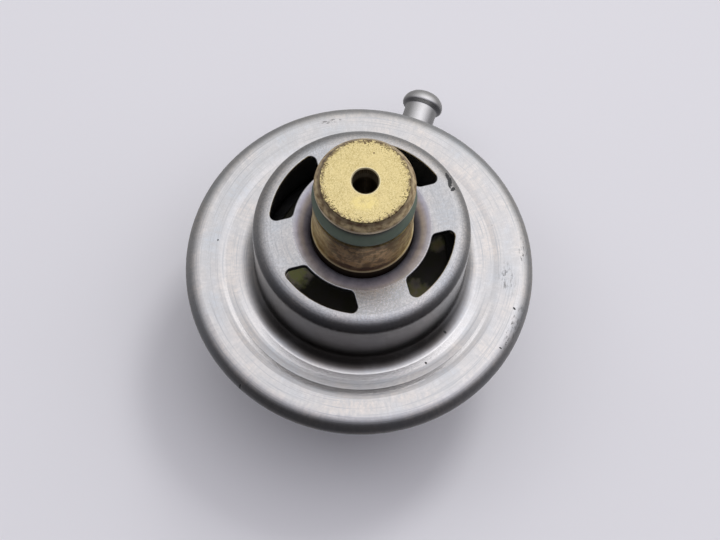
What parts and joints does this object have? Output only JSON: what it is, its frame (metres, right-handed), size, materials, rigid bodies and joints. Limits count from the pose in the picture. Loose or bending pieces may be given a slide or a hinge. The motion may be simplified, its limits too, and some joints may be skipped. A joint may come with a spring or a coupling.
{
  "type": "fuel pressure regulator",
  "caption": "Diaphragm fuel pressure regulator: drawn steel capsule with slotted cup and curled flange, brass outlet stem with O-ring, side vacuum nipple, sprung ball valve inside.",
  "frame": {"origin": "on the axis, in the plane of the flange's seat face on the fuel side", "axes": "+Z along the axis towards the outlet stem, +X along the vacuum nipple"},
  "size_m": [0.0583, 0.048, 0.0475],
  "materials": {
    "stainless_sheet": "satin drawn sheet with fine scratches",
    "stainless_cover": "satin drawn sheet",
    "nipple_steel": "smooth drawn tube",
    "stem_brass": "turned, grainy head face, tarnished sides",
    "seat_steel": "hardened and ground",
    "o_ring_rubber": "matt grey-green fluoroelastomer",
    "diaphragm_rubber": "fabric-reinforced, matt",
    "spring_steel": "phosphated wire",
    "yellow_zinc": "yellow-passivated zinc",
    "carrier_steel": "turned",
    "ball_steel": "polished, ground flat"
  },
  "bodies": {
    "housing": {"fuel_side_housing": "stainless_sheet", "outlet_stem": "stem_brass", "valve_seat": "seat_steel", "stem_o_ring": "o_ring_rubber", "spring_cover": "stainless_cover", "vacuum_nipple": "nipple_steel", "diaphragm": "diaphragm_rubber", "main_spring": "spring_steel"},
    "valve": {"backing_plate": "yellow_zinc", "spring_seat": "yellow_zinc", "valve_carrier": "carrier_steel", "valve_ball": "ball_steel", "ball_retainer": "seat_steel", "ball_spring": "spring_steel"}
  },
  "joints": [
    {"name": "valve_lift", "type": "slide", "parent": "housing", "child": "valve", "axis": [0, 0, -1], "range_m": [0, 0.0008], "stiffness_N_per_m": 1000, "springref_m": -0.001, "deforming": ["main_spring", "diaphragm"]}
  ]
}
